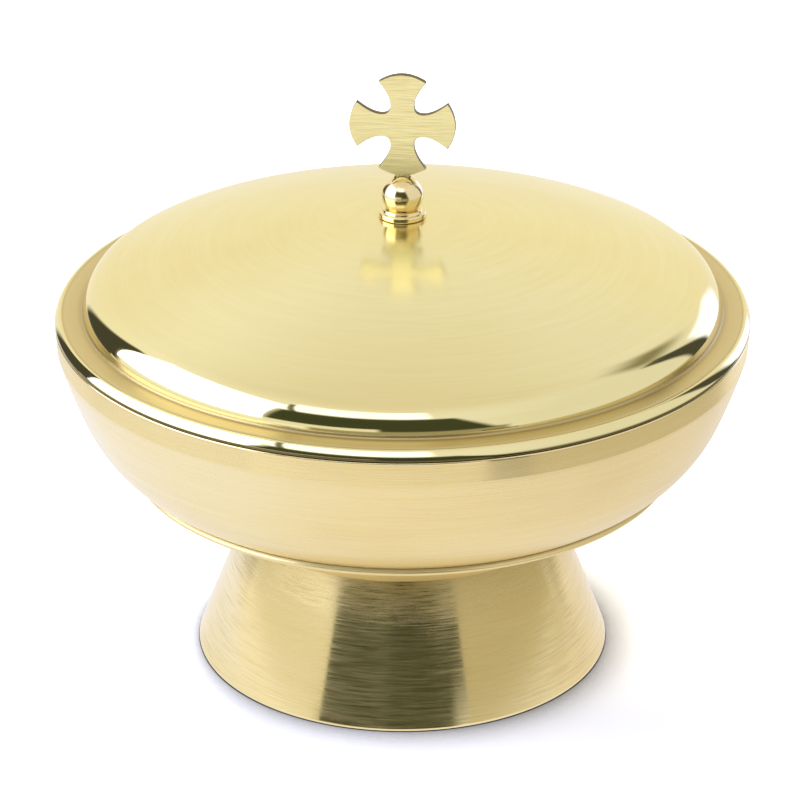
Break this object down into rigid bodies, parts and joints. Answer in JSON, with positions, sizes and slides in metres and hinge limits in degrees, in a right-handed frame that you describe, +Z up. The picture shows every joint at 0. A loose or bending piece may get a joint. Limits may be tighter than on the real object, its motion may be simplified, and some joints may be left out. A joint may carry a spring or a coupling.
{
  "type": "ciborium",
  "caption": "Shallow round covered bowl on a conical foot, with a domed lift-off lid, a rolled edge and a small cross finial on a ball.",
  "frame": {"origin": "centre of the ring that the foot stands on", "axes": "+Z up along the vessel's axis, the flat faces of the cross look along -Y and +Y, and its side arms lie along X"},
  "size_m": [0.165, 0.165, 0.1458],
  "materials": {
    "satin_gold": "gold plated, fine satin brushing round the axis",
    "polished_gold": "gold plated, mirror polished",
    "bare_brass": "bare turned brass, slightly dull"
  },
  "bodies": {
    "vessel": {"foot_shell": "satin_gold", "foot_saucer": "polished_gold", "bowl_shell": "satin_gold", "bowl_stud": "bare_brass", "foot_washer": "bare_brass", "foot_nut": "bare_brass"},
    "lid": {"lid_shell": "satin_gold", "lid_locating_ring": "polished_gold", "finial_collar": "polished_gold", "finial_ball": "polished_gold", "finial_cross": "satin_gold", "finial_stud": "bare_brass", "finial_washer": "bare_brass", "finial_nut": "bare_brass"}
  },
  "joints": [
    {"name": "lid_lift", "type": "slide", "parent": "vessel", "child": "lid", "axis": [0, 0, 1], "range_m": [0, 0.12]}
  ]
}
